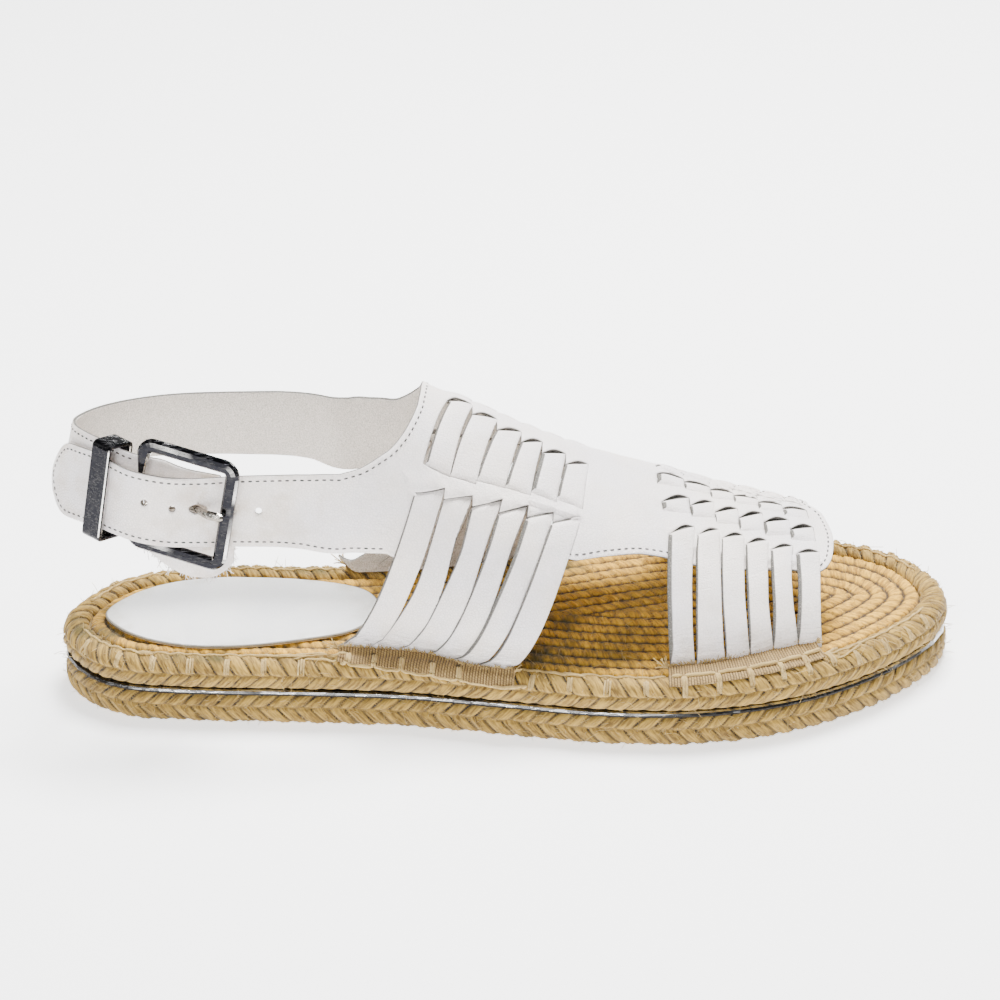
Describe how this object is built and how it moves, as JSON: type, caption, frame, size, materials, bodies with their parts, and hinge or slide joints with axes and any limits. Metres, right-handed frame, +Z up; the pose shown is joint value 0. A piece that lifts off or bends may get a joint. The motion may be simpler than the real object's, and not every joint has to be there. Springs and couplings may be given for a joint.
{
  "type": "platform espadrille sandal",
  "caption": "Right-foot platform sandal: woven leather strips over an open vamp, buckled ankle strap, plaited jute sole with a bright bead, coiled rope footbed.",
  "frame": {"origin": "on the floor under the middle of the sole's length and width", "axes": "+X towards the toe, -Y towards the outer side of the foot where the buckle is, +Z up"},
  "size_m": [0.272, 0.0977, 0.0969],
  "materials": {
    "rubber": "matte moulded rubber",
    "jute": "plaited and coiled jute",
    "chrome": "bright plate with fine scratches",
    "white_leather": "soft smooth leather, semi-matte",
    "woven_tape": "ribbed woven tape"
  },
  "bodies": {
    "root": {"outsole": "rubber", "lower_sole": "jute", "rand_piping": "chrome", "upper_sole": "jute", "footbed": "jute", "heel_sock": "white_leather", "rand_tape_outer_instep": "woven_tape", "rand_tape_outer_toe": "woven_tape", "rand_tape_inner_instep": "woven_tape", "rand_tape_inner_toe": "woven_tape", "upper": "white_leather", "buckle_frame": "chrome", "buckle_prong": "chrome", "strap_keeper": "chrome"}
  },
  "joints": []
}
